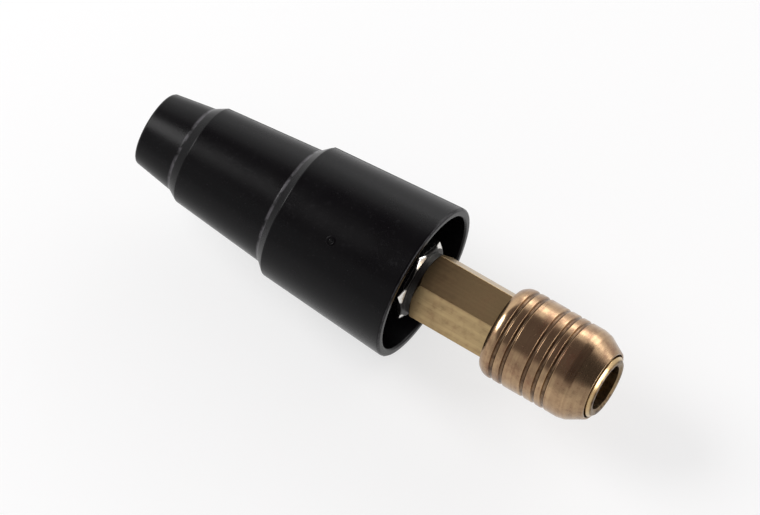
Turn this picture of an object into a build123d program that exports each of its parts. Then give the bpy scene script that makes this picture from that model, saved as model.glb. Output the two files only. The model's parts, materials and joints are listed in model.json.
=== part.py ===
from build123d import *
import os
from math import cos, radians, sin, sqrt

# Quick disconnect coupler for compressed air, on a crimped hose tail with a rubber boot.
# Millimetres. The origin is the centre of the nose face and +X points out of the nose
# along the axis. A depth is a distance behind the nose face, so it lies at x = -depth.

# ---- Plug bore, in the front body ----
bore_r = 6.05           # guide bore round the plug's collar
bore_bevel = 0.8        # height of the mouth's bevel, on a radius
bore_bevel_length = 0.45
nose_length = 0.9       # how far the nose stands ahead of the locking sleeve
nose_bevel = 0.9        # height of the nose's outer bevel, on a radius
guide_length = 14.4     # nose face to the end of the guide bore
throat_r = 4.9          # bore round the plug's tip
throat_lip = 1.9        # wall ahead of the plug seal
seat_wall = 3.4         # wall between the plug seal and the valve seat
chamber_r = 6.4         # valve chamber behind the seat

# ---- Seals ----
plug_seal_wire_r = 1.0  # plug seal, an O-ring
plug_seal_grip = 0.18   # how far it stands into the throat
plug_seal_gap = 0.03    # behind it, in its groove
body_seal_wire_r = 0.8  # O-ring between the front body and the adaptor
seal_gap = 0.1          # free width beside a seal in its groove

# ---- Locking balls ----
ball_r = 1.75
ball_count = 6
lock_reach = 1.22       # how far a locked ball reaches into the plug bore
ball_travel = 1.25      # how far a released ball moves outwards
ball_play = 0.15        # between a locked ball and the sleeve
pocket_play = 0.12      # between a released ball and the sleeve
ball_side_gap = 0.05    # between a ball and its hole
ball_lip = 0.02         # how much the hole's inner lip narrows it, to hold the ball
gallery_r = 6.25        # relief of the guide bore round the balls
gallery_length = 4.0

# ---- Locking sleeve ----
sleeve_r = 12.25
sleeve_length = 29.1
sleeve_set_back = 1.2   # the sleeve's front edge behind the nose face
sleeve_travel = 4.0
sleeve_gap = 0.08       # sliding fit on the front body
skirt_wall = 1.5        # wall of the skirt over the spring
land_length = 4.5       # land that holds the balls in
stop_length = 0.8       # inner lip that meets the snap ring
nose_rim_wall = 0.5     # wall of the front edge, round the snap ring
cone_length = 4.4       # length of the sleeve's nose cone
cone_r = 11.8           # radius behind the cone
shoulder_length = 2.0   # shallower taper between the cone and the full radius
sleeve_edge = 1.1       # height of the rear edge's bevel, on a radius
sleeve_edge_length = 1.5
groove_width = 1.3      # grip grooves, over their mouths
groove_depth = 0.6
groove_slope = 60       # angle of their sides
groove_places = (11.6, 14.3, 17.6, 23.7, 26.6)  # their depths

# ---- Springs and the snap ring ----
wire_sides = 8          # the springs' wire is drawn as an octagon
sleeve_spring_wire_r = 0.5
sleeve_spring_length = 11.0
sleeve_spring_turns = 4
valve_spring_wire_r = 0.4
valve_spring_r = 5.3    # mean radius of its turns
valve_spring_length = 9.5
valve_spring_turns = 4
ring_wire_r = 0.45      # snap ring
ring_depth = 2.65       # its centre
ring_stand = 0.35       # how far it stands out of the front body
ring_gap = 0.1          # free space round it

# ---- Adaptor ----
hex_across = 17.0       # across the flats
hex_gap = 0.2           # between the sleeve and the hexagon
hex_bevel = 0.5         # height of the hexagon's corner bevels, on a radius
neck_r = 9.3            # neck inside the sleeve's spring
neck_gap = 2.0          # between the pulled sleeve's land and the neck
collar_gap = 0.1        # between the collar and the sleeve's skirt
body_thread_r = 8.0     # thread of the front body, as a plain cylinder
body_thread_length = 6.1
thread_gap = 0.05
pipe_thread_gap = 0.08
passage_r = 5.0         # air passage behind the valve
passage_wall = 3.8
pipe_thread_r = 6.5     # G1/4 thread of the hose tail, as a plain cylinder
pipe_thread_depth = 12.0
pipe_thread_end_gap = 1.0

# ---- Valve ----
stem_front = 16.9       # depth of the stem's front end
stem_r = 4.3
stem_bore_r = 2.9
stem_hole_r = 1.0
stem_hole_count = 4
stem_tail_r = 2.4       # rear stem, in the valve guide
stem_tail_length = 11.3
valve_seal_wall = 1.2   # thickness of the flat seal
valve_seal_r = 5.7
valve_head_r = 5.9
valve_head_length = 2.3
guide_thickness = 2.0
guide_hub_r = 3.2
guide_rim_wall = 1.65
guide_gap = 0.05        # round the guide's rim
guide_stem_gap = 0.1    # round the stem in the guide's hub
spoke_count = 3
spoke_width = 1.6

# ---- Hose tail and ferrule ----
washer_thickness = 1.5
washer_r = 8.3
washer_gap = 0.2        # round the thread
thread_bevel = 0.8      # at the thread's front end
tail_bore_taper = 2.0   # length of the funnel ahead of the tail's bore
tail_hex_across = 19.0
tail_hex_length = 8.7
tail_bore_r = 3.0
tail_neck_r = 5.4       # flanges before and behind the ferrule's groove
tail_neck_length = 0.8
tail_groove_r = 4.7
barb_r = 4.6
barb_root_r = 4.1
barb_count = 5
barb_pitch = 4.56
ferrule_r = 7.9
ferrule_wall = 2.0
ferrule_flange = 1.1    # thickness of the ferrule's inward flange
ferrule_gap = 0.1       # round the flange in its groove
crimp_count = 4
crimp_depth = 0.5
crimp_width = 2.8       # crimp grooves, over their mouths
crimp_slope = 45        # angle of their sides

# ---- Boot ----
boot_mouth_r = 20.9
boot_cup_r = 18.2       # rear end of the cup
boot_waist_r = 15.9     # front end of the middle stretch
boot_waist_end_r = 13.3
boot_tail_r = 11.6      # front end of the tail
boot_tail_end_r = 9.8
boot_wall = 2.2
boot_reach = 9.8        # how far the cup reaches ahead of the ribs
cup_length = 36.6
cup_step = 2.6          # slanted shoulder behind the cup
waist_length = 26.4
waist_step = 2.9        # slanted shoulder behind the waist
boot_tail_length = 11.4
boot_rounding = (0.7, 0.8, 1.2, 0.8, 1.2, 0.8)  # of the outline's corners, from the mouth back
boot_end_wall = 5.4     # solid stretch ahead of the waist's shoulder
hose_r = 6.0
hose_gap = 0.2
rib_count = 6
rib_thickness = 1.6
rib_gap = 0.1           # between the ribs and the ferrule
rib_hose_gap = 0.5      # between the ribs and the hose
rib_clear = 1.0         # between the ferrule's end and the ribs' step down to the hose
rib_root = 1.0          # how far the ribs run into the boot's solid end
rib_stop_gap = 0.4      # between the ribs and the hose tail's hexagon

# ---- Radii that follow ----
ball_rest_r = bore_r - lock_reach + ball_r
land_r = ball_rest_r + ball_r + ball_play
body_r = land_r - sleeve_gap
pocket_r = ball_rest_r + ball_r + ball_travel + pocket_play
skirt_r = sleeve_r - skirt_wall
collar_r = skirt_r - collar_gap
ring_r = body_r + ring_stand - ring_wire_r
rim_inner_r = ring_r + ring_wire_r + ring_gap
plug_seal_r = throat_r - plug_seal_grip + plug_seal_wire_r
plug_seal_groove_r = plug_seal_r + plug_seal_wire_r + plug_seal_gap
body_socket_r = body_thread_r + thread_gap
body_seal_r = body_thread_r - body_seal_wire_r
pipe_socket_r = pipe_thread_r + pipe_thread_gap
sleeve_spring_r = (neck_r + skirt_r) / 2
ferrule_inner_r = ferrule_r - ferrule_wall
hose_bore_r = hose_r + hose_gap
rib_inner_r = ferrule_r + rib_gap
rib_hose_r = hose_r + rib_hose_gap

# ---- Depths that follow, from the nose back ----
sleeve_back = sleeve_set_back + sleeve_length
shoulder_front = sleeve_set_back + cone_length
stop_front = ring_depth + ring_wire_r + ring_gap
pocket_front = stop_front + stop_length
ball_depth = pocket_front + sleeve_travel + ball_r + ball_play
ramp_front = ball_depth - (pocket_r - land_r) * sleeve_travel / ball_travel
land_back = ball_depth + land_length
gallery_front = ball_depth - gallery_length / 2
gallery_back = ball_depth + gallery_length / 2
seal_groove_front = guide_length + throat_lip
seal_groove_back = seal_groove_front + 2 * (plug_seal_wire_r + seal_gap)
seat_depth = seal_groove_back + seat_wall
neck_front = land_back + sleeve_travel + neck_gap
collar_front = land_back + sleeve_spring_length
hex_front = sleeve_back + hex_gap
body_back = neck_front + body_thread_length
body_socket_back = body_back + 2 * body_seal_wire_r + seal_gap
head_front = seat_depth + valve_seal_wall
head_back = head_front + valve_head_length
guide_front = head_back + valve_spring_length
guide_back = guide_front + guide_thickness
pipe_socket_front = guide_back + passage_wall
hex_back = pipe_socket_front + pipe_thread_depth
tail_front = pipe_socket_front + pipe_thread_end_gap
tail_hex_front = hex_back + washer_thickness
tail_hex_back = tail_hex_front + tail_hex_length
tail_groove_front = tail_hex_back + tail_neck_length
tail_groove_back = tail_groove_front + ferrule_flange + 2 * ferrule_gap
barb_front = tail_groove_back + tail_neck_length
tail_back = barb_front + barb_count * barb_pitch
ferrule_front = tail_groove_front + ferrule_gap
rib_front = tail_hex_back + rib_stop_gap
boot_front = rib_front - boot_reach
cup_back = boot_front + cup_length
waist_front = cup_back + cup_step
waist_back = waist_front + waist_length
boot_tail_front = waist_back + waist_step
boot_back = boot_tail_front + boot_tail_length
cavity_back = waist_back - boot_end_wall

# Sections are drawn as (depth, radius), on a plane through the axis.
section_plane = Plane(origin=(0, 0, 0), x_dir=(-1, 0, 0), z_dir=(0, 0, 1))

os.makedirs("parts", exist_ok=True)


def turned(*outline, mode=Mode.ADD):
    """Turn a closed outline of (depth, radius) points round the axis."""
    with BuildSketch(section_plane) as section:
        with BuildLine():
            Polyline(*outline, close=True)
        make_face()
    revolve(section.sketch, axis=Axis.X, mode=mode)


def outward(angle):
    """The plane through the balls' centres whose normal points outwards at an angle."""
    return Plane(origin=(-ball_depth, 0, 0), z_dir=(0, cos(radians(angle)), sin(radians(angle))))


def hexagon(front, back, across, turn):
    """A hexagonal bar from one depth to another, with bevelled corners at both ends."""
    face_r = across / 2 - hex_bevel / 4
    corner_r = across / sqrt(3) + hex_bevel
    slope = (corner_r - face_r) * sqrt(1 / 3)
    with BuildSketch(Plane.YZ.offset(-back)) as bar:
        RegularPolygon(across / 2, 6, major_radius=False, rotation=turn)
    extrude(bar.sketch, amount=back - front)
    barrel = (
        (front, 0), (front, face_r), (front + slope, corner_r),
        (back - slope, corner_r), (back, face_r), (back, 0),
    )
    turned(*barrel, mode=Mode.INTERSECT)


def o_ring(depth, ring_radius, wire_radius):
    """A round ring of round wire, centred on the axis."""
    with BuildSketch(section_plane) as wire:
        with Locations((depth, ring_radius)):
            Circle(wire_radius)
    revolve(wire.sketch, axis=Axis.X)


def coil(front, back, coil_radius, wire_radius, turns):
    """A compression spring that fills the space between two depths."""
    run = back - front - 2 * wire_radius
    with BuildLine() as path:
        Helix(run / turns, run, coil_radius, center=(-front - wire_radius, 0, 0), direction=(-1, 0, 0))
    with BuildSketch(Plane(path.line @ 0, z_dir=path.line % 0)) as wire:
        RegularPolygon(wire_radius, wire_sides)
    sweep(wire.sketch, path=path.line, is_frenet=True)


# ---- Front body: takes the plug, cages the balls and seats the valve ----
with BuildPart() as front_body:
    turned(
        (0, bore_r + bore_bevel), (0, body_r - nose_bevel), (nose_length, body_r),
        (ring_depth - ring_wire_r - ring_gap / 2, body_r),
        (ring_depth - ring_wire_r - ring_gap / 2, ring_r - ring_wire_r),
        (ring_depth + ring_wire_r + ring_gap / 2, ring_r - ring_wire_r),
        (ring_depth + ring_wire_r + ring_gap / 2, body_r),
        (neck_front, body_r), (neck_front, body_thread_r),
        (body_back, body_thread_r), (body_back, chamber_r),
        (seat_depth, chamber_r), (seat_depth, throat_r),
        (seal_groove_back, throat_r), (seal_groove_back, plug_seal_groove_r),
        (seal_groove_front, plug_seal_groove_r), (seal_groove_front, throat_r),
        (guide_length, throat_r), (guide_length, bore_r),
        (gallery_back, bore_r), (gallery_back, gallery_r),
        (gallery_front, gallery_r), (gallery_front, bore_r), (bore_bevel_length, bore_r),
    )
    lip_r = ball_r - ball_lip
    lip_top = ball_rest_r - sqrt(ball_r**2 - lip_r**2) - ball_play / 2
    for i in range(ball_count):
        plane = outward(360 / ball_count * i)
        with BuildSketch(plane.offset(lip_top)):
            Circle(ball_r + ball_side_gap)
        extrude(amount=body_r, mode=Mode.SUBTRACT)
        with BuildSketch(plane):
            Circle(lip_r)
        extrude(amount=body_r, mode=Mode.SUBTRACT)
front_body.part.label = "front_body"
export_step(front_body.part, "parts/front_body.step")

# ---- Locking balls, in the front body's holes ----
for i in range(ball_count):
    with BuildPart() as locking_ball:
        with Locations(outward(360 / ball_count * i).offset(ball_rest_r)):
            Sphere(ball_r)
    locking_ball.part.label = f"locking_ball_{i + 1}"
    export_step(locking_ball.part, f"parts/locking_ball_{i + 1}.step")

# ---- Locking sleeve: grip, ball land and ramp, and a skirt over its spring ----
with BuildPart() as locking_sleeve:
    with BuildSketch(section_plane) as sleeve_section:
        with BuildLine():
            Polyline(
                (sleeve_set_back, rim_inner_r), (sleeve_set_back, rim_inner_r + nose_rim_wall),
                (shoulder_front, cone_r), (shoulder_front + shoulder_length, sleeve_r),
                (sleeve_back - sleeve_edge_length, sleeve_r), (sleeve_back, sleeve_r - sleeve_edge),
                (sleeve_back, skirt_r), (land_back, skirt_r),
                (land_back, land_r), (ball_depth, land_r),
                (ramp_front, pocket_r), (pocket_front, pocket_r),
                (pocket_front, land_r), (stop_front, land_r), (stop_front, rim_inner_r),
                close=True,
            )
        make_face()
        with Locations(*[(place, sleeve_r) for place in groove_places]):
            Trapezoid(
                groove_width, groove_depth, groove_slope, rotation=180,
                align=(Align.CENTER, Align.MIN), mode=Mode.SUBTRACT,
            )
    revolve(axis=Axis.X)
locking_sleeve.part.label = "locking_sleeve"
export_step(locking_sleeve.part, "parts/locking_sleeve.step")

# ---- Sleeve spring, between the sleeve's land and the adaptor's collar ----
with BuildPart() as sleeve_spring:
    coil(land_back, collar_front, sleeve_spring_r, sleeve_spring_wire_r, sleeve_spring_turns)
sleeve_spring.part.label = "sleeve_spring"
export_step(sleeve_spring.part, "parts/sleeve_spring.step")

# ---- Snap ring: stops the sleeve at the front ----
with BuildPart() as snap_ring:
    o_ring(ring_depth, ring_r, ring_wire_r)
snap_ring.part.label = "snap_ring"
export_step(snap_ring.part, "parts/snap_ring.step")

# ---- Plug seal, in the throat's groove ----
with BuildPart() as plug_seal:
    o_ring((seal_groove_front + seal_groove_back) / 2, plug_seal_r, plug_seal_wire_r)
plug_seal.part.label = "plug_seal"
export_step(plug_seal.part, "parts/plug_seal.step")

# ---- Body seal, behind the front body's thread ----
with BuildPart() as body_seal:
    o_ring((body_back + body_socket_back) / 2, body_seal_r, body_seal_wire_r)
body_seal.part.label = "body_seal"
export_step(body_seal.part, "parts/body_seal.step")

# ---- Adaptor: hexagon, spring collar, and the sockets for the front body and hose tail ----
with BuildPart() as hex_adaptor:
    hexagon(hex_front, hex_back, hex_across, 0)
    turned(
        (neck_front, 0), (neck_front, neck_r), (collar_front, neck_r),
        (collar_front, collar_r), (hex_front, collar_r), (hex_front, 0),
    )
    turned(
        (neck_front, 0), (neck_front, body_socket_r), (body_socket_back, body_socket_r),
        (body_socket_back, chamber_r), (guide_back, chamber_r), (guide_back, passage_r),
        (pipe_socket_front, passage_r), (pipe_socket_front, pipe_socket_r),
        (hex_back, pipe_socket_r), (hex_back, 0),
        mode=Mode.SUBTRACT,
    )
hex_adaptor.part.label = "hex_adaptor"
export_step(hex_adaptor.part, "parts/hex_adaptor.step")

# ---- Valve poppet: a tube that the plug pushes, a head, and a guided rear stem ----
with BuildPart() as valve_poppet:
    turned(
        (stem_front, stem_bore_r), (stem_front, stem_r), (head_front, stem_r),
        (head_front, valve_head_r), (head_back, valve_head_r), (head_back, stem_tail_r),
        (head_back + stem_tail_length, stem_tail_r), (head_back + stem_tail_length, 0),
        (head_front, 0), (head_front, stem_bore_r),
    )
    for i in range(stem_hole_count):
        turn = radians(360 / stem_hole_count * i)
        hole_depth = seat_depth - stem_hole_r
        with BuildSketch(Plane(origin=(-hole_depth, 0, 0), z_dir=(0, cos(turn), sin(turn)))):
            Circle(stem_hole_r)
        extrude(amount=2 * stem_r, mode=Mode.SUBTRACT)
valve_poppet.part.label = "valve_poppet"
export_step(valve_poppet.part, "parts/valve_poppet.step")

# ---- Valve seal, a flat ring on the poppet's head ----
with BuildPart() as valve_seal:
    turned(
        (seat_depth, stem_r + guide_gap), (seat_depth, valve_seal_r),
        (head_front, valve_seal_r), (head_front, stem_r + guide_gap),
    )
valve_seal.part.label = "valve_seal"
export_step(valve_seal.part, "parts/valve_seal.step")

# ---- Valve spring, between the poppet's head and the guide ----
with BuildPart() as valve_spring:
    coil(head_back, guide_front, valve_spring_r, valve_spring_wire_r, valve_spring_turns)
valve_spring.part.label = "valve_spring"
export_step(valve_spring.part, "parts/valve_spring.step")

# ---- Valve guide: rim, three spokes and a hub round the poppet's stem ----
with BuildPart() as valve_guide:
    rim_r = chamber_r - guide_gap
    rim_inside = rim_r - guide_rim_wall
    with BuildSketch(Plane.YZ.offset(-guide_back)):
        Circle(rim_r)
        Circle(rim_inside, mode=Mode.SUBTRACT)
        with PolarLocations((guide_hub_r + rim_inside) / 2, spoke_count, start_angle=90):
            Rectangle(rim_inside, spoke_width)
        Circle(guide_hub_r)
        Circle(stem_tail_r + guide_stem_gap, mode=Mode.SUBTRACT)
    extrude(amount=guide_thickness)
valve_guide.part.label = "valve_guide"
export_step(valve_guide.part, "parts/valve_guide.step")

# ---- Thread washer, between the adaptor and the hose tail ----
with BuildPart() as thread_washer:
    turned(
        (hex_back, pipe_thread_r + washer_gap), (hex_back, washer_r),
        (tail_hex_front, washer_r), (tail_hex_front, pipe_thread_r + washer_gap),
    )
thread_washer.part.label = "thread_washer"
export_step(thread_washer.part, "parts/thread_washer.step")

# ---- Hose tail: pipe thread, hexagon, ferrule groove and barbs ----
with BuildPart() as hose_tail:
    hexagon(tail_hex_front, tail_hex_back, tail_hex_across, 30)
    turned(
        (tail_front, 0), (tail_front, pipe_thread_r - thread_bevel),
        (tail_front + thread_bevel, pipe_thread_r),
        (tail_hex_front, pipe_thread_r), (tail_hex_front, 0),
    )
    barbs = []
    for i in range(barb_count):
        start = barb_front + barb_pitch * i
        barbs += [(start, barb_r), (start + barb_pitch, barb_root_r)]
    turned(
        (tail_hex_back, 0), (tail_hex_back, tail_neck_r), (tail_groove_front, tail_neck_r),
        (tail_groove_front, tail_groove_r), (tail_groove_back, tail_groove_r),
        (tail_groove_back, tail_neck_r), (barb_front, tail_neck_r), *barbs, (tail_back, 0),
    )
    turned(
        (tail_front, 0), (tail_front, passage_r), (tail_front + tail_bore_taper, tail_bore_r),
        (tail_back, tail_bore_r), (tail_back, 0),
        mode=Mode.SUBTRACT,
    )
hose_tail.part.label = "hose_tail"
export_step(hose_tail.part, "parts/hose_tail.step")

# ---- Ferrule: a brass shell crimped round the hose, hooked in the tail's groove ----
with BuildPart() as ferrule:
    flange_r = tail_groove_r + ferrule_gap
    crimp_span = (tail_back - ferrule_front) / (crimp_count + 1)
    with BuildSketch(section_plane) as ferrule_section:
        with BuildLine():
            Polyline(
                (ferrule_front, flange_r), (ferrule_front, ferrule_r - crimp_depth),
                (ferrule_front + crimp_depth, ferrule_r), (tail_back, ferrule_r),
                (tail_back, ferrule_inner_r), (ferrule_front + ferrule_flange, ferrule_inner_r),
                (ferrule_front + ferrule_flange, flange_r),
                close=True,
            )
        make_face()
        with Locations(*[
            (ferrule_front + crimp_span * (i + 1), ferrule_r) for i in range(crimp_count)
        ]):
            Trapezoid(
                crimp_width, crimp_depth, crimp_slope, rotation=180,
                align=(Align.CENTER, Align.MIN), mode=Mode.SUBTRACT,
            )
    revolve(axis=Axis.X)
ferrule.part.label = "ferrule"
export_step(ferrule.part, "parts/ferrule.step")

# ---- Boot: a stepped rubber cup with inner ribs, and a collar round the hose ----
with BuildPart() as boot:
    with BuildSketch(section_plane) as boot_outside:
        with BuildLine():
            outside = FilletPolyline(
                (boot_front, 0), (boot_front, boot_mouth_r), (cup_back, boot_cup_r),
                (waist_front, boot_waist_r), (waist_back, boot_waist_end_r),
                (boot_tail_front, boot_tail_r), (boot_back, boot_tail_end_r), (boot_back, 0),
                radius=boot_rounding,
            )
            Line(outside @ 1, outside @ 0)
        make_face()
    revolve(axis=Axis.X)
    turned(
        (boot_front, 0), (boot_front, boot_mouth_r - boot_wall), (cup_back, boot_cup_r - boot_wall),
        (waist_front, boot_waist_r - boot_wall), (cavity_back, boot_waist_end_r - boot_wall),
        (cavity_back, 0),
        mode=Mode.SUBTRACT,
    )
    mid_wall = boot_wall / 2
    rib_front_r = boot_mouth_r - (boot_mouth_r - boot_cup_r) * boot_reach / cup_length - mid_wall
    for i in range(rib_count):
        rib_plane = section_plane.rotated((360 / rib_count * i, 0, 0))
        with BuildSketch(rib_plane):
            with BuildLine():
                Polyline(
                    (rib_front, rib_inner_r), (rib_front, rib_front_r),
                    (cup_back, boot_cup_r - mid_wall), (waist_front, boot_waist_r - mid_wall),
                    (cavity_back, boot_waist_end_r - mid_wall),
                    (cavity_back + rib_root, boot_waist_end_r - mid_wall),
                    (cavity_back + rib_root, rib_hose_r), (tail_back + rib_clear, rib_hose_r),
                    (tail_back + rib_clear, rib_inner_r),
                    close=True,
                )
            make_face()
        extrude(amount=rib_thickness / 2, both=True)
    turned((cavity_back, 0), (cavity_back, hose_bore_r), (boot_back, hose_bore_r), (boot_back, 0),
           mode=Mode.SUBTRACT)
boot.part.label = "boot"
export_step(boot.part, "parts/boot.step")
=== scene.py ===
import json
from math import atan2, cos, pi, radians, sin, tau

import bpy
from mathutils import Matrix, Vector


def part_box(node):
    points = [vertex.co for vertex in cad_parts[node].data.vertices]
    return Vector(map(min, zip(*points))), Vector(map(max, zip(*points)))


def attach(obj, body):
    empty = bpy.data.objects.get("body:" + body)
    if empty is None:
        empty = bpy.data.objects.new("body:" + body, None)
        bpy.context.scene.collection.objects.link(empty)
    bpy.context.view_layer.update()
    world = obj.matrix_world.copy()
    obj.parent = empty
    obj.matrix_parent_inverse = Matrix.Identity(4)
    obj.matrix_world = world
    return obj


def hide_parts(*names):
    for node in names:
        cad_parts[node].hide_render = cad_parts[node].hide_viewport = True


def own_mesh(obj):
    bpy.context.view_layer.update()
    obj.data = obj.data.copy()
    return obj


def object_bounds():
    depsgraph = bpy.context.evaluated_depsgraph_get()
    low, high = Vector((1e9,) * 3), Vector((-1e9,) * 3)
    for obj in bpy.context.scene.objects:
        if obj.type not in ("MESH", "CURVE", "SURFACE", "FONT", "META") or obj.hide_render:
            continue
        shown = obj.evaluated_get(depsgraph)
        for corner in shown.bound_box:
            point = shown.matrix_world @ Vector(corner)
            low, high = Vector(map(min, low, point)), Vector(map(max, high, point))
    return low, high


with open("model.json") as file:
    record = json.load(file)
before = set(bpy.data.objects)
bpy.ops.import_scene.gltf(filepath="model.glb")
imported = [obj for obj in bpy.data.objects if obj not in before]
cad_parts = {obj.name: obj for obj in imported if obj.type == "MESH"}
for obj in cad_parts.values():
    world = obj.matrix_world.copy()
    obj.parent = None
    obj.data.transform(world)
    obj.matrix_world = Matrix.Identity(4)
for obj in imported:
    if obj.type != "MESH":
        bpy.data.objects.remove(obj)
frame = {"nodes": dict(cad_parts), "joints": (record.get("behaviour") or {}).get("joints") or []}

cad_box = [list(corner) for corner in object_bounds()]

# The origin is the middle of the coupler's nose face, and +X points out of it along the axis.
# A depth is a distance behind the nose face and a radius is from the axis, in millimetres.


# ------------------------------------------------------------------------------------------
# Front body: the tube that takes the plug, cages the balls and seats the valve. It is brass,
# turned on an automatic lathe, drilled for its balls and left bare. Its nose face is darkened
# with painted shade, while its bore keeps a shine.
# ------------------------------------------------------------------------------------------
MM = 0.001
nodes = frame["nodes"]


class Wire:
    """A node socket to calculate with: each operation on it adds a Math node to its tree."""

    def __init__(self, plan, socket):
        self.plan = plan
        self.socket = socket

    def __add__(self, other):
        return self.plan.maths("ADD", self, other)

    def __sub__(self, other):
        return self.plan.maths("SUBTRACT", self, other)

    def __rsub__(self, other):
        return self.plan.maths("SUBTRACT", other, self)

    def __mul__(self, other):
        return self.plan.maths("MULTIPLY", self, other)

    def __truediv__(self, other):
        return self.plan.maths("DIVIDE", self, other)

    def __rtruediv__(self, other):
        return self.plan.maths("DIVIDE", other, self)

    def __pow__(self, other):
        return self.plan.maths("POWER", self, other)

    __radd__ = __add__
    __rmul__ = __mul__

    def clamped(self):
        """The value, kept between 0 and 1."""
        return self.plan.maths("ADD", self, 0.0, clamp=True)

    def step(self, low, high):
        """0 below low, 1 above high, and smooth between them; low may be the larger."""
        ends = {"Value": self, "From Min": low, "From Max": high}
        if low > high:
            ends.update({"From Min": high, "From Max": low, "To Min": 1.0, "To Max": 0.0})
        return self.plan.add("ShaderNodeMapRange", ends, interpolation_type="SMOOTHSTEP")

    def siblings(self, *names):
        """Wires from outputs of the same node, by their names."""
        outputs = self.socket.node.outputs
        return [Wire(self.plan, outputs[name]) for name in names]


class Plan:
    """A node tree that is being drawn."""

    def __init__(self, tree):
        self.tree = tree

    def add(self, kind, sockets=None, output=0, **settings):
        """Any node: its settings are made first, and then its sockets are set or linked."""
        node = self.tree.nodes.new(kind)
        for name, setting in settings.items():
            setattr(node, name, setting)
        for name, value in (sockets or {}).items():
            self.join(node.inputs[name], value)
        return Wire(self, node.outputs[output]) if node.outputs else None

    def join(self, socket, value):
        """Link a wire, or each wire of a list, to a socket, or set the socket's own value."""
        if isinstance(value, list):
            for wire in value:
                self.join(socket, wire)
        elif isinstance(value, Wire):
            self.tree.links.new(value.socket, socket)
        elif socket.type == "RGBA":
            socket.default_value = (*value, 1.0)
        else:
            socket.default_value = value

    def maths(self, operation, *values, clamp=False):
        terms = dict(enumerate(values))
        return self.add("ShaderNodeMath", terms, operation=operation, use_clamp=clamp)

    def mix(self, mask, first, second):
        """A colour: first where the mask is 0, and second where it is 1."""
        ends = {0: mask, 6: first, 7: second}
        return self.add("ShaderNodeMix", ends, output=2, data_type="RGBA")


class Finish(Plan):
    """A surface finish: a material with one Principled shader, and patterns in millimetres."""

    def __init__(self, name):
        self.material = bpy.data.materials.new(name)
        self.material.use_nodes = True
        super().__init__(self.material.node_tree)
        self.shader = self.tree.nodes["Principled BSDF"]
        place = self.add("ShaderNodeTexCoord", output="Object")
        scale = {0: place, "Scale": 1 / MM}
        self.place = self.add("ShaderNodeVectorMath", scale, operation="SCALE")
        x, self.y, self.z = self.add("ShaderNodeSeparateXYZ", {0: self.place}).siblings(*"XYZ")
        self.depth = x * -1.0
        self.radius = (self.y * self.y + self.z * self.z) ** 0.5

    def noise(self, size, detail=3.0, stretch=(1.0, 1.0, 1.0), seed=0.0, rough=0.5):
        """Fractal noise from 0 to 1, with features about size millimetres long."""
        squeeze = tuple(1 / (size * longer) for longer in stretch)
        spot = self.add(
            "ShaderNodeVectorMath", {0: self.place, 1: squeeze, 2: (seed, seed, seed)},
            operation="MULTIPLY_ADD",
        )
        return self.add(
            "ShaderNodeTexNoise",
            {"Vector": spot, "Scale": 1.0, "Detail": detail, "Roughness": rough},
        )

    def bump(self, height, distance, strength):
        """A normal that stands a height map up by a distance in millimetres."""
        values = {"Height": height, "Distance": distance * MM, "Strength": strength}
        return self.add("ShaderNodeBump", values)

    def done(self, **sockets):
        """Set the shader's sockets, given as words with underscores, and return the material."""
        for name, value in sockets.items():
            label = name.replace("_", " ").title().replace("Ior", "IOR")
            self.join(self.shader.inputs[label], value)
        return self.material


dirt_and_shade_brown = (0.06, 0.036, 0.024)


def brass_finish(name, fresh, aged, mark_size, grain, satin=0.0, dirt_and_shade=None):
    """Bare brass: tool marks along a grain, cloudy tarnish, nicks, and a dark brown for dirt and
    painted shade where a mask says.
    """
    brass = Finish(name)
    clouds = brass.noise(8.0, detail=4.0, seed=3.1).step(0.36, 0.7)
    blotches = brass.noise(1.7, detail=6.0, seed=8.7, rough=0.62).step(0.44, 0.72)
    warmth = brass.noise(4.0, detail=2.0, seed=12.3).step(0.4, 0.65)
    marks = brass.noise(mark_size, detail=2.0, stretch=grain, seed=1.7)
    broad_marks = brass.noise(mark_size * 4, detail=3.0, stretch=grain, seed=5.2)
    nicks = brass.noise(0.3, detail=2.0, stretch=(3.0, 0.7, 0.7), seed=9.4).step(0.68, 0.8)
    streaks = broad_marks.step(0.35, 0.65)
    tarnish = (clouds * 0.5 + blotches * 0.4 + streaks * 0.35).clamped()
    red_shift = (1.05, 0.82, 0.85)
    reddened = tuple(part * shift for part, shift in zip(aged, red_shift))
    colour = brass.mix(tarnish, fresh, brass.mix(warmth * 0.35, aged, reddened))
    rough = 0.13 + satin + 0.13 * tarnish + 0.07 * marks + 0.2 * nicks
    if dirt_and_shade:
        dirt_and_shade_mask = dirt_and_shade(brass)
        # Dirt and painted shade: where the mask says, the colour turns a dark brown.
        colour = brass.mix(dirt_and_shade_mask * (0.65 + 0.35 * blotches), colour, dirt_and_shade_brown)
        rough = rough + 0.15 * dirt_and_shade_mask
    relief = brass.bump(marks * 0.7 + broad_marks * 0.3 - nicks * 0.6, 0.012, 0.5)
    return brass.done(base_color=colour, metallic=1.0, roughness=rough, normal=relief)


def wear(node, material):
    """Give a CAD piece a finish."""
    nodes[node].data.materials.clear()
    nodes[node].data.materials.append(material)


turning = (1.0, 60.0, 60.0)    # a lathe's marks are fine along the axis and long round it
# nose_shade_depth: how far the painted shade on the nose face reaches down the bore.
nose_face_r, nose_shade_depth = 7.85, 1.6


def nose_painted_shade(brass):
    """Painted shade over the nose face, out to its bevel, that thins out down the bore."""
    on_face = brass.radius.step(nose_face_r + 0.1, nose_face_r - 0.2)
    return on_face * brass.depth.step(nose_shade_depth * 3, nose_shade_depth)


body_brass = brass_finish(
    "turned_body_brass", (0.62, 0.46, 0.25), (0.42, 0.29, 0.14), 0.3, turning, dirt_and_shade=nose_painted_shade
)
wear("front_body", body_brass)


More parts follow.
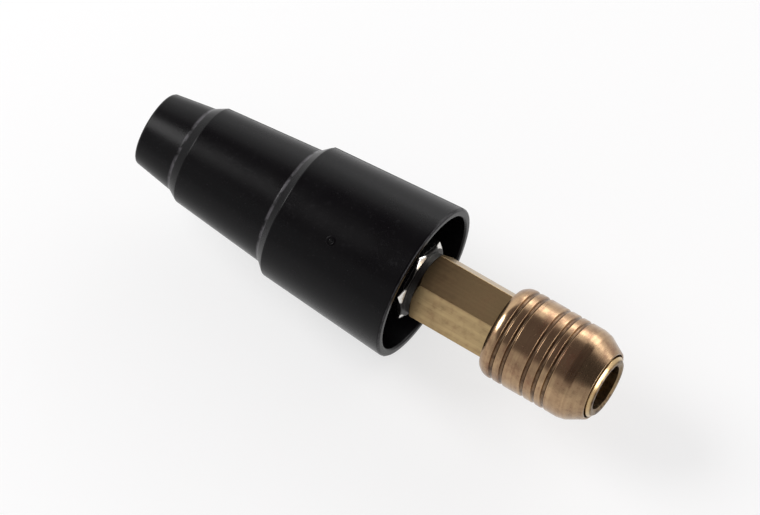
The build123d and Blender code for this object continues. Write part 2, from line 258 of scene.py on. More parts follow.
# ------------------------------------------------------------------------------------------
# Locking balls: six hardened steel balls, lapped to a mirror, loose in the front body's
# radial holes. The sleeve's land holds them in the plug's groove.
# ------------------------------------------------------------------------------------------
lapped = Finish("lapped_steel")
oil = lapped.noise(0.8, detail=3.0, seed=2.0)
ball_steel = lapped.done(
    base_color=lapped.mix(oil.step(0.4, 0.75), (0.72, 0.72, 0.73), (0.5, 0.48, 0.45)),
    metallic=1.0, roughness=0.07 + 0.1 * oil,
)
for ball in sorted(name for name in nodes if name.startswith("locking_ball_")):
    wear(ball, ball_steel)


# ------------------------------------------------------------------------------------------
# Seals: the plug's O-ring, the body's O-ring and the valve's flat ring. Black nitrile
# rubber, moulded, with a trace of grease on it.
# ------------------------------------------------------------------------------------------
nitrile = Finish("nitrile")
bloom = nitrile.noise(1.4, detail=4.0, seed=4.4)
grain = nitrile.noise(0.12, detail=2.0, seed=6.1)
seal_rubber = nitrile.done(
    base_color=nitrile.mix(bloom, (0.012, 0.012, 0.012), (0.03, 0.029, 0.028)),
    roughness=0.42 + 0.25 * bloom, normal=nitrile.bump(grain, 0.01, 0.5),
)
for seal in ("plug_seal", "body_seal", "valve_seal"):
    wear(seal, seal_rubber)


# ------------------------------------------------------------------------------------------
# Valve: the poppet that the plug pushes open, and the three-spoked guide behind it. Brass,
# turned and drilled, bright because it never leaves the dry air inside.
# ------------------------------------------------------------------------------------------
valve_brass = brass_finish(
    "turned_valve_brass", (0.70, 0.54, 0.28), (0.52, 0.37, 0.18), 0.2, turning
)
wear("valve_poppet", valve_brass)
wear("valve_guide", valve_brass)


# ------------------------------------------------------------------------------------------
# Springs: the sleeve's return spring and the valve's spring. Bright drawn steel wire, coiled
# cold, with a closed turn at each end to seat on. The snap ring that stops the sleeve at the
# nose is bent from the same wire.
# ------------------------------------------------------------------------------------------
drawn = Finish("drawn_steel")
die_marks = drawn.noise(0.5, detail=3.0, seed=7.7)
spring_steel = drawn.done(
    base_color=drawn.mix(die_marks, (0.42, 0.42, 0.43), (0.62, 0.61, 0.60)),
    metallic=1.0, roughness=0.22 + 0.16 * die_marks,
)
wear("snap_ring", spring_steel)


def depth_of(node):
    """The depths of a CAD piece's front and back ends."""
    low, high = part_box(node)
    return -high.x / MM, -low.x / MM


def radius_of(node):
    """The largest radius of a round CAD piece."""
    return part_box(node)[1].y / MM


def new_tree(name, *sizes):
    """An empty Geometry Nodes tree, and wires from its shape, its material and its sizes."""
    tree = bpy.data.node_groups.new(name, "GeometryNodeTree")
    tree.interface.new_socket("Geometry", in_out="INPUT", socket_type="NodeSocketGeometry")
    tree.interface.new_socket("Geometry", in_out="OUTPUT", socket_type="NodeSocketGeometry")
    tree.interface.new_socket("Material", in_out="INPUT", socket_type="NodeSocketMaterial")
    for size in sizes:
        tree.interface.new_socket(size, in_out="INPUT", socket_type="NodeSocketFloat")
    plan = Plan(tree)
    shape, material, *given = plan.add("NodeGroupInput").siblings("Geometry", "Material", *sizes)
    return plan, shape, material, given


def finished(plan, geometry, material):
    """End a tree: real geometry, smooth faces, and its material."""
    whole = plan.add("GeometryNodeRealizeInstances", {"Geometry": geometry})
    smooth = plan.add("GeometryNodeSetShadeSmooth", {"Geometry": whole})
    dressed = plan.add("GeometryNodeSetMaterial", {"Geometry": smooth, "Material": material})
    plan.add("NodeGroupOutput", {"Geometry": dressed})
    return plan.tree


def coil_tree():
    """Geometry Nodes: a helix of round wire along -X, with one closed turn at each end."""
    plan, _, material, given = new_tree(
        "coil_spring", "Front", "Length", "Radius", "Wire Radius", "Turns"
    )
    front, length, radius, wire_radius, turns = given
    line = plan.add("GeometryNodeCurvePrimitiveLine")
    path = plan.add("GeometryNodeResampleCurve", {"Curve": line, "Count": 480}, output="Curve")
    along = plan.add("GeometryNodeSplineParameter", output="Factor") * turns
    wire = wire_radius * 2.0
    front_turn = plan.maths("MINIMUM", along, 1.0) * wire
    back_turn = plan.maths("MAXIMUM", along - turns + 1.0, 0.0) * wire
    open_turns = ((along - 1.0) / (turns - 2.0)).clamped() * (length - wire * 3.0)
    depth = front + wire_radius + front_turn + open_turns + back_turn
    angle = along * tau
    point = plan.add("ShaderNodeCombineXYZ", {
        "X": depth * -1.0,
        "Y": plan.maths("COSINE", angle) * radius,
        "Z": plan.maths("SINE", angle) * radius,
    })
    helix = plan.add("GeometryNodeSetPosition", {"Geometry": path, "Position": point})
    section = plan.add(
        "GeometryNodeCurvePrimitiveCircle", {"Resolution": 14, "Radius": wire_radius}
    )
    solid = plan.add(
        "GeometryNodeCurveToMesh", {"Curve": helix, "Profile Curve": section, "Fill Caps": True}
    )
    return finished(plan, solid, material)


def grown(name, tree, outline=None, **inputs):
    """The plain mesh that a Geometry Nodes tree makes from named inputs, as a new object.

    An outline is a closed loop of (depth, radius, rounding) corners for the tree to work on.
    """
    mesh = bpy.data.meshes.new(name)
    if outline:
        corners = [(depth * MM, radius * MM, 0.0) for depth, radius, _ in outline]
        loop = [(i, (i + 1) % len(outline)) for i in range(len(outline))]
        mesh.from_pydata(corners, loop, [])
        rounding = mesh.attributes.new("rounding", "FLOAT", "POINT")
        rounding.data.foreach_set("value", [corner[2] * MM for corner in outline])
    seed = bpy.data.objects.new(name, mesh)
    bpy.context.scene.collection.objects.link(seed)
    modifier = seed.modifiers.new("grow", "NODES")
    modifier.node_group = tree
    for socket in tree.interface.items_tree:
        value = inputs.get(socket.name.replace(" ", "_"))
        if value is not None:
            modifier[socket.identifier] = value
    return settled(seed)


def settled(piece):
    """Even out a piece's shading, and make its modifiers part of its mesh."""
    piece.modifiers.new("shading", "WEIGHTED_NORMAL").keep_sharp = True
    bpy.context.view_layer.update()
    ready = piece.evaluated_get(bpy.context.evaluated_depsgraph_get())
    mesh = bpy.data.meshes.new_from_object(ready)
    piece.modifiers.clear()
    finish = next(material for material in mesh.materials if material)
    mesh.materials.clear()
    mesh.materials.append(finish)
    mesh.polygons.foreach_set("material_index", [0] * len(mesh.polygons))
    piece.data = mesh
    mesh.name = piece.name
    return piece


coil = coil_tree()
spring_turns = 6.0
slides = {joint["name"]: joint.get("range_m") for joint in frame["joints"]}
springs = (
    ("sleeve_spring", "sleeve_pull", "spring_turn", 0.5),
    ("valve_spring", "valve_open", "root", 0.4),
)
for node, joint, body, wire_radius in springs:
    front, back = depth_of(node)
    spring = grown(
        node + "_wire", coil, Front=front * MM, Length=(back - front) * MM,
        Radius=(radius_of(node) - wire_radius) * MM, Wire_Radius=wire_radius * MM,
        Turns=spring_turns, Material=spring_steel,
    )
    travel = slides[joint][1] / MM
    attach(spring, body)
    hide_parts(node)
    1 - travel / (back - front)
    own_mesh(spring)


# ------------------------------------------------------------------------------------------
# Adaptor: the hexagon that a 17 mm spanner turns, with the sleeve's spring collar before it
# and the G1/4 socket behind. Brass hexagon bar, turned at both ends and faced to a bevel.
# ------------------------------------------------------------------------------------------
def rounded(corners, steps=4):
    """A closed outline whose corners, each (depth, radius, rounding), are cut as round arcs."""
    points = []
    for i, (depth, radius, rounding) in enumerate(corners):
        corner = Vector((depth, radius))
        before = Vector(corners[i - 1][:2]) - corner
        after = Vector(corners[(i + 1) % len(corners)][:2]) - corner
        half = before.angle(after) / 2
        room = min(before.length, after.length) / 2.2
        inset = min(rounding / max(sin(half), 0.05) * cos(half), room)
        start = corner + before.normalized() * inset
        end = corner + after.normalized() * inset
        for step in range(steps + 1):
            t = step / steps
            points.append(start * (1 - t) ** 2 + corner * 2 * t * (1 - t) + end * t**2)
    return points


def hexagon_sides(across, first_corner, rounding, side_steps=6, corner_steps=4):
    """(angle, radius) round a hexagon bar with rounded corners. Angles run from +Y to +Z."""
    middle_r = (across / 2 - rounding) / cos(pi / 6)
    spots = []
    for step in range(corner_steps + 1):
        swing = (step / corner_steps - 0.5) * pi / 3
        spots.append(Vector((middle_r + rounding * cos(swing), rounding * sin(swing))))
    side_start = spots[-1]
    side_end = Matrix.Rotation(pi / 3, 2) @ spots[0]
    for step in range(1, side_steps):
        spots.append(side_start.lerp(side_end, step / side_steps))
    sides = []
    for corner in range(6):
        turn = radians(first_corner + 60 * corner)
        sides += [(turn + atan2(spot.y, spot.x), spot.length) for spot in spots]
    return sides


def hexagon_piece(name, sides, outline_at, material):
    """A turned piece with a hexagon on it: outline_at gives the corners for a bar radius."""
    rings = [(angle, rounded(outline_at(radius))) for angle, radius in sides]
    around, along = len(rings), len(rings[0][1])
    points = []
    faces = []
    for i, (angle, ring) in enumerate(rings):
        points += [(-p.x * MM, p.y * cos(angle) * MM, p.y * sin(angle) * MM) for p in ring]
        here, there = i * along, (i + 1) % around * along
        for j in range(along):
            k = (j + 1) % along
            faces.append((here + j, here + k, there + k, there + j))
    mesh = bpy.data.meshes.new(name)
    mesh.from_pydata(points, [], faces)
    mesh.materials.append(material)
    mesh.polygons.foreach_set("use_smooth", [True] * len(faces))
    piece = bpy.data.objects.new(name, mesh)
    bpy.context.scene.collection.objects.link(piece)
    return settled(piece)


drawing = (60.0, 1.0, 1.0)    # a die's marks run along the bar
bar_brass = brass_finish(
    "drawn_bar_brass", (0.48, 0.35, 0.18), (0.29, 0.20, 0.105), 0.22, drawing, satin=0.12
)
sleeve_gap = 0.2
neck_front, socket_back = depth_of("hex_adaptor")
collar_front = depth_of("sleeve_spring")[1]
hex_front = depth_of("locking_sleeve")[1] + sleeve_gap
guide_back = depth_of("valve_guide")[1]
body_socket_back = neck_front + 7.8
passage_back = guide_back + 3.8
hex_across, hex_face_r, bevel_slope = 17.0, 8.375, 0.577
neck_r, collar_r = 9.3, 10.65
body_socket_r, chamber_r, passage_r, pipe_socket_r = 8.05, 6.4, 5.0, 6.58


def adaptor_outline(bar_r):
    bevel = (bar_r - hex_face_r) * bevel_slope
    return [
        (neck_front, neck_r, 0.3), (collar_front, neck_r, 0.1), (collar_front, collar_r, 0.3),
        (hex_front, collar_r, 0.25), (hex_front, bar_r, 0.02), (socket_back - bevel, bar_r, 0.35),
        (socket_back, hex_face_r, 0.12), (socket_back, pipe_socket_r, 0.3),
        (passage_back, pipe_socket_r, 0.1), (passage_back, passage_r, 0.2),
        (guide_back, passage_r, 0.2), (guide_back, chamber_r, 0.05),
        (body_socket_back, chamber_r, 0.2), (body_socket_back, body_socket_r, 0.05),
        (neck_front, body_socket_r, 0.2),
    ]


adaptor_sides = hexagon_sides(hex_across, first_corner=0, rounding=0.3)
adaptor = hexagon_piece("adaptor", adaptor_sides, adaptor_outline, bar_brass)
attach(adaptor, "root")
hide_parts("hex_adaptor")


# ------------------------------------------------------------------------------------------
# Locking sleeve: pulled back by hand to free the plug. Brass tube, turned, with five grip
# grooves, a tapered nose, and the land and ramp for the balls inside. Its grooves are darkened
# with dirt and painted shade, and its tapered nose with painted shade.
# ------------------------------------------------------------------------------------------
def filleted(plan, outline, steps):
    """An outline's loop of edges as a curve, each corner rounded by its own radius."""
    loop = plan.add("GeometryNodeMeshToCurve", {"Mesh": outline})
    rounding = plan.add(
        "GeometryNodeInputNamedAttribute", {"Name": "rounding"}, data_type="FLOAT"
    )
    corners = {"Curve": loop, "Radius": rounding, "Count": steps, "Limit Radius": True}
    return plan.add("GeometryNodeFilletCurve", corners, mode="POLY")


def lathe_tree():
    """Geometry Nodes: round an outline's corners and turn it about the X axis."""
    plan, outline, material, (facets, arc_steps) = new_tree("lathe", "Facets", "Arc Steps")
    arcs = filleted(plan, outline, arc_steps)
    # The outline is swept round a circle as small as a hub, so its radii are counted from there.
    hub = 1.0 * MM
    place = plan.add("GeometryNodeInputPosition")
    on_hub = {0: place, 1: (0.0, hub, 0.0)}
    centred = plan.add("ShaderNodeVectorMath", on_hub, operation="SUBTRACT")
    depth, radius = plan.add("ShaderNodeSeparateXYZ", {0: centred}).siblings("X", "Y")
    upright = plan.add("ShaderNodeCombineXYZ", {"X": radius, "Y": depth})
    section = plan.add("GeometryNodeSetPosition", {"Geometry": arcs, "Position": upright})
    circle = plan.add("GeometryNodeCurvePrimitiveCircle", {"Resolution": facets, "Radius": hub})
    turned = plan.add("GeometryNodeCurveToMesh", {"Curve": circle, "Profile Curve": section})
    lying = plan.add(
        "GeometryNodeTransform", {"Geometry": turned, "Rotation": (0.0, pi / 2, 0.0)}
    )
    return finished(plan, lying, material)


lathe = lathe_tree()
sleeve_front, sleeve_back = depth_of("locking_sleeve")
sleeve_r = radius_of("locking_sleeve")
groove_places = (11.6, 14.3, 17.6, 23.7, 26.6)
groove_mouth, groove_floor, groove_depth = 1.3, 0.6, 0.6
groove_bottom_r = sleeve_r - groove_depth
cone_back, cone_r, rim_r, rim_inner_r = 5.6, 11.8, 9.35, 8.85
shoulder_back = cone_back + 2.0
edge_bevel, edge_bevel_length = 1.1, 1.5
land_r, pocket_r, skirt_r = 8.48, 9.7, 10.75
stop_front, pocket_front, ramp_front, ramp_back, land_back = 3.2, 4.0, 5.996, 9.9, 14.4
outline = [
    (sleeve_front, rim_inner_r, 0.1), (sleeve_front, rim_r, 0.2), (cone_back, cone_r, 1.5),
    (shoulder_back, sleeve_r, 3.0),
]
for place in groove_places:
    outline += [
        (place - groove_mouth / 2, sleeve_r, 0.22),
        (place - groove_floor / 2, groove_bottom_r, 0.36),
        (place + groove_floor / 2, groove_bottom_r, 0.36),
        (place + groove_mouth / 2, sleeve_r, 0.22),
    ]
outline += [
    (sleeve_back - edge_bevel_length, sleeve_r, 3.4), (sleeve_back, sleeve_r - edge_bevel, 0.2),
    (sleeve_back, skirt_r, 0.1), (land_back, skirt_r, 0.2), (land_back, land_r, 0.1),
    (ramp_back, land_r, 0.3), (ramp_front, pocket_r, 0.3), (pocket_front, pocket_r, 0.1),
    (pocket_front, land_r, 0.1), (stop_front, land_r, 0.05), (stop_front, rim_inner_r, 0.05),
]


def groove_dirt_and_painted_shade(brass):
    """Dirt and painted shade in the grooves, and a thin film of painted shade on the tapered
    nose.
    """
    behind_shoulder = brass.depth.step(shoulder_back + 0.4, shoulder_back + 1.4)
    before_edge = brass.depth.step(sleeve_back - 1.6, sleeve_back - 2.2)
    sunk = brass.radius.step(groove_bottom_r + 0.5, groove_bottom_r)
    on_cone = brass.depth.step(cone_back + 1.5, cone_back - 1.5)
    # The grooves are darkened for dirt and painted shade, the tapered nose for painted shade
    # alone.
    return sunk * behind_shoulder * before_edge * 0.9 + on_cone * 0.3


sleeve_brass = brass_finish(
    "turned_sleeve_brass", (0.46, 0.315, 0.182), (0.25, 0.15, 0.09), 0.22, turning,
    dirt_and_shade=groove_dirt_and_painted_shade,
)
sleeve = grown("sleeve", lathe, outline, Facets=128, Arc_Steps=4, Material=sleeve_brass)
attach(sleeve, "sleeve")
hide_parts("locking_sleeve")


# ------------------------------------------------------------------------------------------
# Hose tail and washer: nickel-plated brass tail with a 19 mm hexagon, screwed into the
# adaptor on a flat steel washer. The plate is bright and scratched by the spanner. Its front
# face and bevel are darkened with painted shade, except at the bevel's corners.
# ------------------------------------------------------------------------------------------
oiled = Finish("oiled_washer_steel")
film = oiled.noise(1.1, detail=4.0, seed=9.0)
washer_steel = oiled.done(
    base_color=oiled.mix(film, (0.30, 0.29, 0.27), (0.13, 0.125, 0.12)),
    metallic=1.0, roughness=0.28 + 0.2 * film,
)
wear("thread_washer", washer_steel)

tail_front, tail_back = depth_of("hose_tail")
nut_front = depth_of("thread_washer")[1]
nut_back = nut_front + 8.7
groove_front, groove_back = nut_back + 0.8, nut_back + 2.1
tail_across, tail_face_r = 19.0, 9.375
tail_bore_r, tail_thread_r, tail_flange_r, tail_groove_r = 3.0, 6.5, 5.4, 4.7
thread_bevel, bore_taper = 0.8, 2.0
barb_r, barb_root_r, barb_pitch, barb_count = 4.6, 4.1, 4.56, 5
barb_front = nut_back + 2.9
barbs = []
for barb in range(barb_count):
    start = barb_front + barb_pitch * barb
    barbs += [(start, barb_r, 0.15), (start + barb_pitch, barb_root_r, 0.08)]


def tail_outline(bar_r):
    bevel = (bar_r - tail_face_r) * bevel_slope
    return [
        (tail_front, passage_r, 0.1), (tail_front, tail_thread_r - thread_bevel, 0.1),
        (tail_front + thread_bevel, tail_thread_r, 0.1), (nut_front, tail_thread_r, 0.1),
        (nut_front, tail_face_r, 0.15), (nut_front + bevel, bar_r, 0.8),
        (nut_back - bevel, bar_r, 0.4), (nut_back, tail_face_r, 0.15),
        (nut_back, tail_flange_r, 0.2), (groove_front, tail_flange_r, 0.1),
        (groove_front, tail_groove_r, 0.1), (groove_back, tail_groove_r, 0.1),
        (groove_back, tail_flange_r, 0.1), (barb_front, tail_flange_r, 0.1), *barbs,
        (tail_back, tail_bore_r, 0.2), (tail_front + bore_taper, tail_bore_r, 0.4),
    ]


plate = Finish("bright_nickel")
haze = plate.noise(2.5, detail=4.0, seed=1.2)
scuffs = plate.noise(0.5, detail=2.0, stretch=(5.0, 0.5, 0.5), seed=3.9).step(0.6, 0.78)
# Painted shade on the hexagon's front face and bevel, left off the bevel's corners.
six_turns = 6.0 * plate.maths("ARCTAN2", plate.z, plate.y)
near_corner = plate.maths("COSINE", six_turns).step(-0.1, -0.6)
unshaded_corner = near_corner * plate.radius.step(tail_face_r - 0.025, tail_face_r + 0.175)
front_painted_shade = plate.depth.step(nut_front + 1.3, nut_front + 0.7) * (1.0 - unshaded_corner)
plated = plate.mix(haze, (0.82, 0.80, 0.76), (0.66, 0.64, 0.60))
nickel = plate.done(
    base_color=plate.mix(front_painted_shade, plated, (0.03, 0.028, 0.026)),
    metallic=1.0, roughness=0.1 + 0.12 * haze + 0.2 * scuffs + 0.3 * front_painted_shade,
    normal=plate.bump(haze * 0.4 - scuffs * 0.4, 0.01, 0.5),
)
tail_sides = hexagon_sides(tail_across, first_corner=30, rounding=0.6)
tail = hexagon_piece("tail", tail_sides, tail_outline, nickel)
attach(tail, "root")
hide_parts("hose_tail")


# ------------------------------------------------------------------------------------------
# Ferrule: a brass shell that is pushed over the hose's end and crimped round it in four
# bands, so that the hose can't come off the barbs. Its flange sits in the tail's groove.
# ------------------------------------------------------------------------------------------
ferrule_front, ferrule_back = depth_of("ferrule")
ferrule_r = radius_of("ferrule")
ferrule_inner_r, ferrule_flange_r, ferrule_flange = 5.9, 4.8, 1.1
crimp_width, crimp_depth, crimp_count = 2.8, 0.5, 4
crimp_pitch = (ferrule_back - ferrule_front) / (crimp_count + 1)
outline = [(ferrule_front, ferrule_flange_r, 0.1), (ferrule_front, ferrule_r, 0.5)]
for crimp in range(crimp_count):
    place = ferrule_front + crimp_pitch * (crimp + 1)
    half_mouth, half_floor = crimp_width / 2, crimp_width / 2 - crimp_depth
    outline += [
        (place - half_mouth, ferrule_r, 0.3), (place - half_floor, ferrule_r - crimp_depth, 0.3),
        (place + half_floor, ferrule_r - crimp_depth, 0.3), (place + half_mouth, ferrule_r, 0.3),
    ]
outline += [
    (ferrule_back, ferrule_r, 0.3), (ferrule_back, ferrule_inner_r, 0.3),
    (ferrule_front + ferrule_flange, ferrule_inner_r, 0.2),
    (ferrule_front + ferrule_flange, ferrule_flange_r, 0.1),
]
ferrule_brass = brass_finish(
    "crimped_brass", (0.68, 0.53, 0.28), (0.46, 0.34, 0.16), 0.3, turning
)
shell = grown("ferrule_shell", lathe, outline, Facets=96, Arc_Steps=3, Material=ferrule_brass)
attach(shell, "root")
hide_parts("ferrule")


# ------------------------------------------------------------------------------------------
# Boot: the black guard over the fitting's rear. Soft moulded rubber, slid back along the
# hose to reach the hexagon. It is satin and dusty, with painted highlights of paler colour on
# its mouth's edge and at the feet of its two steps.
# ------------------------------------------------------------------------------------------
boot_front, boot_back = depth_of("boot")
boot_r = radius_of("boot") + 0.05    # rounding the mouth's edge takes this off its taper again
boot_wall, boot_bore_r = 2.2, 6.2
cup_back, cup_r = boot_front + 36.6, 18.2
waist_front, waist_front_r = cup_back + 2.6, 15.9
waist_back, waist_back_r = waist_front + 26.4, 13.3
collar_step, collar_step_r, boot_end_r = waist_back + 2.9, 11.6, 9.8
cavity_back = waist_back - 5.4
boot_skin = [
    (boot_front, boot_r, 0.7), (cup_back, cup_r, 0.7), (waist_front, waist_front_r, 1.2),
    (waist_back, waist_back_r, 0.7), (collar_step, collar_step_r, 1.2),
    (boot_back, boot_end_r, 0.9),
]
boot_outline = [
    (boot_front, boot_r - boot_wall, 0.6), *boot_skin, (boot_back, boot_bore_r, 0.4),
    (cavity_back, boot_bore_r, 0.3), (cavity_back, waist_back_r - boot_wall, 0.8),
    (waist_front, waist_front_r - boot_wall, 0.8), (cup_back, cup_r - boot_wall, 0.8),
]

moulded = Finish("moulded_rubber")
handled = moulded.noise(11.0, detail=3.0, seed=2.2)
pebble = moulded.noise(0.28, detail=3.0, seed=7.3)
dust = moulded.noise(1.6, detail=7.0, seed=5.6, rough=0.65).step(0.54, 0.82)
scuffs = moulded.noise(0.5, detail=3.0, stretch=(5.0, 1.0, 1.0), seed=11.0).step(0.64, 0.8)
specks = moulded.noise(0.4, detail=2.0, seed=19.0).step(0.66, 0.74) * (0.3 + 0.7 * dust)
# Painted highlights: a paler colour on the mouth's outer edge and at the feet of the two steps.
on_mouth = moulded.depth.step(boot_front + 0.5, boot_front + 0.2)
painted_highlight = moulded.radius.step(boot_r - 0.5, boot_r - 0.1) * on_mouth
for foot, foot_r in ((waist_front, waist_front_r), (collar_step, collar_step_r)):
    before_foot = moulded.depth.step(foot - 0.75, foot - 0.3)
    behind_foot = moulded.depth.step(foot + 0.55, foot + 0.1)
    at_foot = before_foot * behind_foot * moulded.radius.step(foot_r - 0.9, foot_r - 0.6)
    painted_highlight = painted_highlight + at_foot
painted_highlight = painted_highlight * moulded.noise(2.2, detail=5.0, seed=15.0).step(0.3, 0.6)
dusty = (dust * 0.4 + scuffs * 0.3).clamped()
black = moulded.mix(dusty, (0.0016, 0.0013, 0.0019), (0.010, 0.009, 0.011))
speckled = moulded.mix(specks * 0.8, black, (0.05, 0.046, 0.05))
boot_rubber = moulded.done(
    base_color=moulded.mix(painted_highlight * 0.7, speckled, (0.085, 0.08, 0.088)),
    roughness=0.22 + 0.12 * handled + 0.12 * dust + 0.1 * scuffs,
    specular_ior_level=0.13,
    normal=moulded.bump(pebble * 0.7 + handled * 0.8 + scuffs * 0.2, 0.03, 0.6),
)
boot = grown("boot_shell", lathe, boot_outline, Facets=160, Arc_Steps=5, Material=boot_rubber)
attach(boot, "boot")
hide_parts("boot")


# ------------------------------------------------------------------------------------------
# The boot's mouldings: six ribs inside that hold it off the ferrule and the hose, the fine
# flash that the mould's two halves leave along it, and the dimpled mark of the gate that
# the rubber was shot through. They are one with the boot.
# ------------------------------------------------------------------------------------------
def plates_tree():
    """Geometry Nodes: thin plates cut to one outline and set round the axis at equal angles."""
    plan, outline, material, given = new_tree("plates", "Thickness", "Count", "Turn")
    thickness, count, turn = given
    arcs = filleted(plan, outline, 4)
    side = plan.add("GeometryNodeFillCurve", {"Curve": arcs}, mode="NGONS")
    up = plan.add("ShaderNodeCombineXYZ", {"Z": thickness})
    raised = {"Mesh": side, "Offset": up, "Offset Scale": 1.0, "Individual": False}
    block = plan.add("GeometryNodeExtrudeMesh", raised, output="Mesh", mode="FACES")
    back = plan.add("GeometryNodeFlipFaces", {"Mesh": side})
    both = plan.add("GeometryNodeJoinGeometry", {"Geometry": [block, back]})
    plate = plan.add("GeometryNodeMergeByDistance", {"Geometry": both, "Distance": 1e-6})
    # Half a turn about Y lays the depths along -X, and takes the thickness below the axis.
    half_back = plan.add("ShaderNodeCombineXYZ", {"Z": thickness * 0.5})
    lying = plan.add(
        "GeometryNodeTransform",
        {"Geometry": plate, "Translation": half_back, "Rotation": (0.0, pi, 0.0)},
    )
    spots = plan.add("GeometryNodeMeshLine", {"Count": count, "Offset": (0.0, 0.0, 0.0)})
    swing = turn + plan.add("GeometryNodeInputIndex") * tau / count
    turned = plan.add("ShaderNodeCombineXYZ", {"X": swing})
    ring = plan.add(
        "GeometryNodeInstanceOnPoints", {"Points": spots, "Instance": lying, "Rotation": turned}
    )
    return finished(plan, ring, material)


def cup_radius(depth):
    """The outer radius of the boot's cup at a depth."""
    return boot_r - (boot_r - cup_r) * (depth - boot_front) / (cup_back - boot_front)


plates = plates_tree()
mid_wall = boot_wall / 2
hose_clear_r, ferrule_clear_r = 6.5, 8.0
rib_front = nut_back + 0.4
rib_step, rib_back = ferrule_back + 1.0, cavity_back + 1.0
rib_count, rib_width = 6, 1.6
rib_outline = [
    (rib_front, ferrule_clear_r, 0.3), (rib_front, cup_radius(rib_front) - mid_wall, 0.0),
    (cup_back, cup_r - mid_wall, 0.0), (waist_front, waist_front_r - mid_wall, 0.0),
    (cavity_back, waist_back_r - mid_wall, 0.0), (rib_back, waist_back_r - mid_wall, 0.0),
    (rib_back, hose_clear_r, 0.0), (rib_step, hose_clear_r, 0.2),
    (rib_step, ferrule_clear_r, 0.2),
]
ribs = grown(
    "boot_ribs", plates, rib_outline, Thickness=rib_width * MM, Count=rib_count, Turn=0.0,
    Material=boot_rubber,
)

parting_angle = radians(32)
flash_height, flash_width, flash_end = 0.06, 0.22, 0.05
flash_skin = [
    (boot_front + flash_end, boot_r, 0.7), *boot_skin[1:-1],
    (boot_back - flash_end, boot_end_r, 0.9),
]
flash_outline = [(depth, r + flash_height, rounding) for depth, r, rounding in flash_skin]
flash_outline += [(depth, r - mid_wall, 0.0) for depth, r, _ in reversed(boot_skin)]
parting_line = grown(
    "boot_parting_line", plates, flash_outline, Thickness=flash_width * MM, Count=2,
    Turn=parting_angle, Material=boot_rubber,
)

gate_depth = boot_front + 20.9
gate_outline = [
    (-0.3, 0.02, 0.0), (-0.26, 0.36, 0.1), (-0.02, 0.5, 0.2), (-0.12, 0.75, 0.2),
    (-0.1, 1.3, 0.12), (0.4, 1.45, 0.0), (0.4, 0.02, 0.0),
]
gate_mark = grown(
    "boot_gate_mark", lathe, gate_outline, Facets=32, Arc_Steps=3, Material=boot_rubber
)
outward = Vector((0, -sin(parting_angle), cos(parting_angle)))
gate_place = Vector((-gate_depth, 0, 0)) + outward * cup_radius(gate_depth)
gate_turn = outward.to_track_quat("X", "Y").to_matrix().to_4x4()
gate_mark.data.transform(Matrix.Translation(gate_place * MM) @ gate_turn)
for moulding in (ribs, parting_line, gate_mark):
    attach(moulding, "boot")


# ------------------------------------------------------------------------------------------
# Studio: a floor of white paper just under the boot, and pale walls with a dimmer, slightly
# warm ceiling. Three soft lamps light the metal: one beyond the boot, one before the nose
# and one along the far side.
# ------------------------------------------------------------------------------------------
floor_gap, floor_reach = 0.2 * MM, 3.0
floor_height = cad_box[0][2] - floor_gap
floor_corners = [(-1, -1), (1, -1), (1, 1), (-1, 1)]
floor_mesh = bpy.data.meshes.new("floor")
floor_mesh.from_pydata(
    [(x * floor_reach, y * floor_reach, floor_height) for x, y in floor_corners],
    [], [(0, 1, 2, 3)],
)
studio_floor = bpy.data.objects.new("floor", floor_mesh)
bpy.context.scene.collection.objects.link(studio_floor)
# To the eye and in the metal the paper also glows, so that it looks white and keeps its shadow.
paper = Finish("floor_paper")
camera_ray, glossy_ray, transmission_ray = paper.add("ShaderNodeLightPath").siblings(
    "Is Camera Ray", "Is Glossy Ray", "Is Transmission Ray"
)
seen = (camera_ray + glossy_ray + transmission_ray).clamped()
glow = paper.add("ShaderNodeEmission", {"Color": (1.0, 1.0, 1.0), "Strength": 1.04})
lit = Wire(paper, paper.shader.outputs["BSDF"])
surface = paper.add("ShaderNodeMixShader", {0: seen * 0.62, 1: lit, 2: glow})
paper.join(paper.tree.nodes["Material Output"].inputs["Surface"], surface)
floor_mesh.materials.append(paper.done(base_color=(0.88, 0.88, 0.88), roughness=0.7))

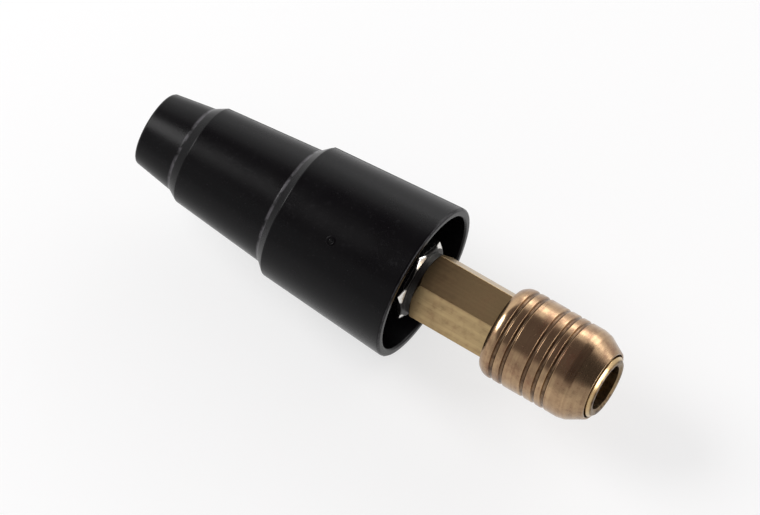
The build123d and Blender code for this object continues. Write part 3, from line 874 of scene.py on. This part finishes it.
world = bpy.data.worlds.new("studio")
world.use_nodes = True
bpy.context.scene.world = world
sky = Plan(world.node_tree)
direction = sky.add("ShaderNodeTexCoord", output="Generated")
sideways, backward, height = sky.add("ShaderNodeSeparateXYZ", {0: direction}).siblings(*"XYZ")
ceiling_edge = 0.55 + 0.08 * backward - 0.15 * sideways
ceiling = (height - ceiling_edge).step(-0.05, 0.09)
wall_light = 1.05 + 0.4 * backward
ceiling_light = 0.14 - 0.12 * sideways
backdrop = sky.tree.nodes["Background"].inputs
sky.join(backdrop["Strength"], wall_light * (1.0 - ceiling) + ceiling_light * ceiling)
sky.join(backdrop["Color"], sky.mix(ceiling, (1.0, 1.0, 1.0), (1.0, 0.87, 0.91)))

middle = (Vector(cad_box[0]) + Vector(cad_box[1])) / 2


def aimed(name, data, azimuth, elevation, distance):
    """A lamp or a camera that faces the middle of the object.

    At azimuth 0 it looks along +Y, with +X on its right.
    """
    turn, rise = radians(azimuth), radians(elevation)
    toward = Vector((sin(turn) * cos(rise), -cos(turn) * cos(rise), sin(rise)))
    holder = bpy.data.objects.new(name, data)
    bpy.context.scene.collection.objects.link(holder)
    holder.location = middle + distance * toward
    holder.rotation_euler = toward.to_track_quat("Z", "Y").to_euler()
    return holder


def soft_lamp(name, azimuth, elevation, width, height, brightness):
    """A soft oval lamp a metre away."""
    lamp = bpy.data.lights.new(name, "AREA")
    lamp.shape = "ELLIPSE"
    lamp.size, lamp.size_y = width, height
    lamp.energy = brightness * pi * (pi / 4 * width * height)
    aimed(name, lamp, azimuth, elevation, 1.0)


soft_lamp("key_lamp", -79, 40, 0.6, 0.5, 9.0)
soft_lamp("nose_lamp", 96, 13, 0.9, 0.3, 5.0)
soft_lamp("back_lamp", 172, 20, 1.0, 0.4, 3.0)

camera = bpy.data.cameras.new("camera")
camera.lens = 460
camera.clip_start = 0.01
camera.clip_end = 20
bpy.context.scene.camera = aimed("camera", camera, 33.3, 61.5, 2.4)
bpy.context.scene.view_settings.view_transform = "Standard"
